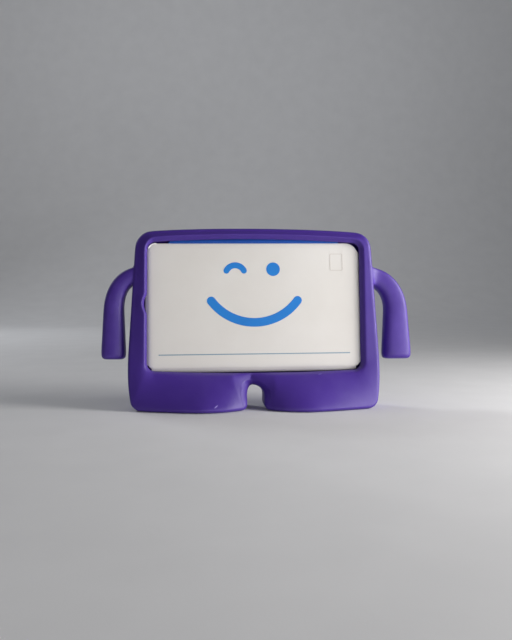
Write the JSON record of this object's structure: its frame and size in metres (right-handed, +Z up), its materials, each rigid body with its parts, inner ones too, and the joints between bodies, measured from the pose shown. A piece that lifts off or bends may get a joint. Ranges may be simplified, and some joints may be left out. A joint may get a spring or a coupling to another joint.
{
  "type": "tablet case",
  "caption": "Soft foam tablet case shaped as a standing figure, with a framed window, two hanging arm handles, two broad legs and a folded display card in its pocket.",
  "frame": {"origin": "centre of the bounding box in plan, on the surface that the soles stand on", "axes": "+Z up, +Y towards the back, -Y towards the viewer of the screen, X across the figure"},
  "size_m": [0.2874, 0.0612, 0.1647],
  "materials": {
    "foam": "matte moulded foam with a fine skin, violet",
    "card": "coated card, off-white, satin",
    "card_blue": "coated card printed deep blue, satin",
    "ink_blue": "flat printed ink, bright blue",
    "ink_pale": "flat printed ink, pale blue",
    "ink_grey": "faint line, warm grey"
  },
  "bodies": {
    "root": {"case_body": "foam", "display_card": "card", "top_flap": "card_blue", "smile_print": "ink_blue", "winking_eye_print": "ink_blue", "open_eye_print": "ink_blue", "rule_print": "ink_pale", "box_print": "ink_grey"}
  },
  "joints": []
}
